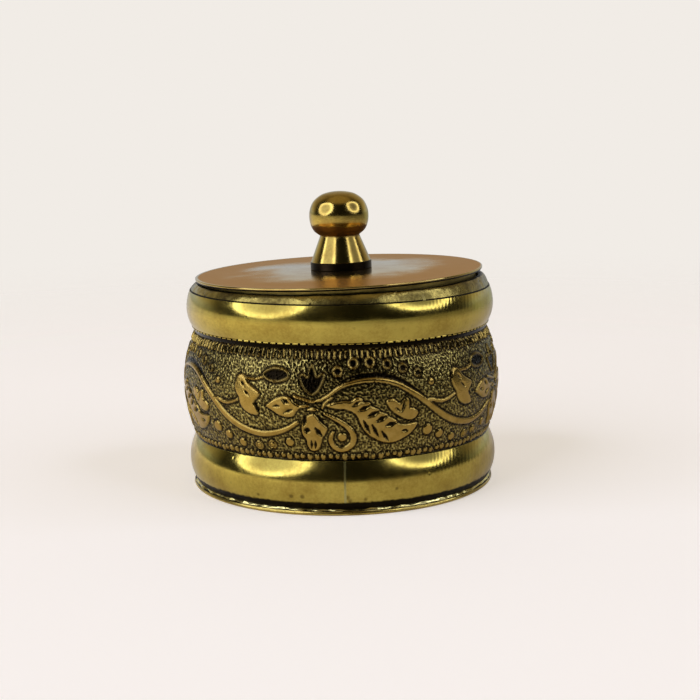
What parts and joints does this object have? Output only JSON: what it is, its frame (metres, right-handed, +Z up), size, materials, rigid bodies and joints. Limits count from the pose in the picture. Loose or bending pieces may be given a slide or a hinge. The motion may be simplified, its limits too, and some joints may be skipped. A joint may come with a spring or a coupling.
{
  "type": "spice box",
  "caption": "Small round brass spice box: chased barrel band between two smooth hoops on a base plate, under a flat lift-off lid with a turned knob.",
  "frame": {"origin": "centre of the underside of the base plate", "axes": "+Z up along the box's axis, -Y towards the side with the lower hoop's seam"},
  "size_m": [0.0508, 0.0508, 0.0465],
  "materials": {
    "polished_brass": "polished, with hand polishing marks and small pits",
    "chased_brass": "raised motifs polished, ground stippled with a punch and darkened",
    "filed_brass": "filed, satin with scratches",
    "lid_brass": "mirror polished",
    "knob_brass": "turned and polished, fine turning marks",
    "plain_brass": "satin, unpolished",
    "braze": "dull, filed flush"
  },
  "bodies": {
    "box": {"base_plate": "polished_brass", "inner_tube": "plain_brass", "inner_tube_seam": "braze", "lower_hoop": "polished_brass", "lower_hoop_seam": "braze", "base_solder": "braze", "chased_band": "chased_brass", "chased_band_seam": "braze", "upper_hoop": "polished_brass", "upper_hoop_seam": "braze", "rim_ring": "filed_brass", "rim_ring_seam": "braze"},
    "lid": {"lid_plate": "lid_brass", "locating_ring": "plain_brass", "locating_ring_seam": "braze", "knob": "knob_brass", "knob_screw": "plain_brass", "knob_washer": "plain_brass"}
  },
  "joints": [
    {"name": "lid_lift", "type": "slide", "parent": "box", "child": "lid", "axis": [0, 0, 1], "range_m": [0, 0.04]}
  ]
}
